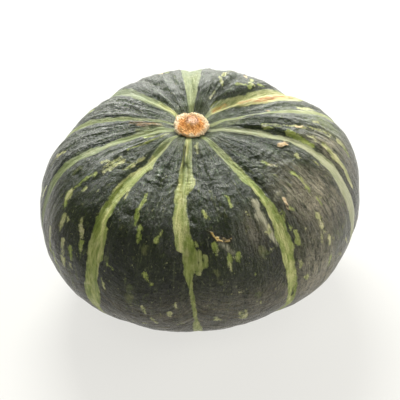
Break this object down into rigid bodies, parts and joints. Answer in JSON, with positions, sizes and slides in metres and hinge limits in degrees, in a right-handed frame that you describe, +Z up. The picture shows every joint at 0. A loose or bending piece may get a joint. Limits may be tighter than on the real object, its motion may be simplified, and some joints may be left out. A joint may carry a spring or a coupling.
{
  "type": "kabocha squash",
  "caption": "Whole flattened squash, ribbed by sutures from stem to blossom end, with a corky stub of stem in its dimple; stands on its foot as food or still-life dressing.",
  "frame": {"origin": "middle of the bounding box, at the height of the flat spot the fruit stands on", "axes": "+Z up through the stem, -Y to the front of the picture, +X to the viewer's right; millimetres in the source"},
  "size_m": [0.1755, 0.1748, 0.1124],
  "materials": {
    "rind": "dark green, waxy and finely wrinkled rind with pale green streaks along the sutures",
    "cork": "dry, torn cork of a cut stem, tan with a pale rim"
  },
  "bodies": {
    "root": {"fruit": "rind", "stem_stub": "cork"}
  },
  "joints": []
}
